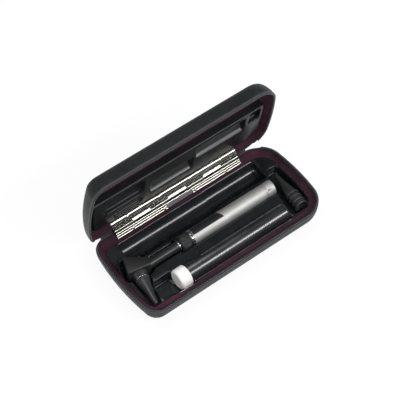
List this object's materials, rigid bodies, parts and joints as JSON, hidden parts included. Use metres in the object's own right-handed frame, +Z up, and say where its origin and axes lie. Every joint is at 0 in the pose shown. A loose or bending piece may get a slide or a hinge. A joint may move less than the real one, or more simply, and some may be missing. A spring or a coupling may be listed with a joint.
{
  "type": "otoscope carry case",
  "caption": "Hard hinged carry case with a formed tray holding a pocket otoscope, a capped storage tube and nested spare specula.",
  "frame": {"origin": "centre of the base's flat underside", "axes": "+X along the case towards the spare specula, +Y back to the hinge, +Z up out of the open base"},
  "size_m": [0.256, 0.1371, 0.1416],
  "materials": {
    "leatherette": "grained black leatherette with bound edges",
    "shell": "stiff moulded shell between covering and lining",
    "velour": "dark plum velour, padded",
    "tray": "glossy vacuum-formed black sheet",
    "hinge_steel": "bright nickel-plated steel",
    "alloy": "satin anodised aluminium",
    "label": "bare satin black label",
    "chrome": "polished chrome",
    "black_plastic": "satin black moulded plastic",
    "cell": "plain cell casings",
    "spring_steel": "bright spring wire",
    "lamp_glass": "clear lamp envelope",
    "lens_glass": "clear magnifying lens",
    "tube_plastic": "glossy black moulded tube",
    "white_plastic": "satin white moulded cap"
  },
  "bodies": {
    "base": {"base_cover": "leatherette", "base_shell": "shell", "base_lining": "velour", "base_rim": "leatherette", "base_tray": "tray", "hinge_leaf_base": "hinge_steel", "hinge_pin": "hinge_steel", "hinge_spring": "hinge_steel", "hinge_rivets_base": "hinge_steel", "hinge_cover": "leatherette"},
    "lid": {"lid_cover": "leatherette", "lid_shell": "shell", "lid_lining": "velour", "lid_rim": "leatherette", "lid_insert": "tray", "hinge_leaf_lid": "hinge_steel", "hinge_rivets_lid": "hinge_steel"},
    "otoscope": {"handle_tube": "alloy", "handle_label": "label", "handle_end_ring": "chrome", "batteries": "cell", "otoscope_neck": "black_plastic", "neck_ring": "chrome", "otoscope_head": "black_plastic", "nose_ring": "chrome", "lamp": "lamp_glass", "lens_pivot": "chrome"},
    "switch": {"switch_collar": "black_plastic"},
    "tail": {"tail_cap": "alloy", "tail_spring": "spring_steel"},
    "fitted_speculum": {"speculum": "black_plastic"},
    "lens": {"lens_frame": "black_plastic", "magnifier_lens": "lens_glass"},
    "tube": {"storage_tube": "tube_plastic"},
    "tube_cap": {"storage_tube_cap": "white_plastic"},
    "spares": {"spare_speculum_1": "black_plastic", "spare_speculum_2": "black_plastic", "spare_speculum_3": "black_plastic", "spare_speculum_4": "black_plastic"}
  },
  "joints": [
    {"name": "lid_hinge", "type": "hinge", "parent": "base", "child": "lid", "pos_m": [0, 0.0572, 0.025], "axis": [-1, 0, 0], "range_deg": [-81, 0], "deforming": ["hinge_cover"]},
    {"name": "otoscope_lift", "type": "slide", "parent": "base", "child": "otoscope", "axis": [0, 0, 1], "range_m": [0, 0.06]},
    {"name": "switch_turn", "type": "hinge", "parent": "otoscope", "child": "switch", "pos_m": [-0.036, 0.0024, 0.018], "axis": [1, 0, 0], "range_deg": [0, 90]},
    {"name": "tail_cap_turn", "type": "hinge", "parent": "otoscope", "child": "tail", "pos_m": [0.085, 0.0024, 0.018], "axis": [1, 0, 0], "range_deg": [0, 360]},
    {"name": "speculum_twist", "type": "hinge", "parent": "otoscope", "child": "fitted_speculum", "pos_m": [-0.1007, -0.0028, 0.018], "axis": [-0.1736, -0.9848, 0], "range_deg": [0, 90]},
    {"name": "lens_swing", "type": "hinge", "parent": "otoscope", "child": "lens", "pos_m": [-0.09204, 0.01103, 0.023], "axis": [0.6283, 0.778, 0], "range_deg": [0, 90]},
    {"name": "tube_lift", "type": "slide", "parent": "base", "child": "tube", "axis": [0, 0, 1], "range_m": [0, 0.05]},
    {"name": "tube_cap_pull", "type": "slide", "parent": "tube", "child": "tube_cap", "axis": [-1, 0, 0], "range_m": [0, 0.008]},
    {"name": "specula_lift", "type": "slide", "parent": "base", "child": "spares", "axis": [0, 0, 1], "range_m": [0, 0.05]}
  ]
}
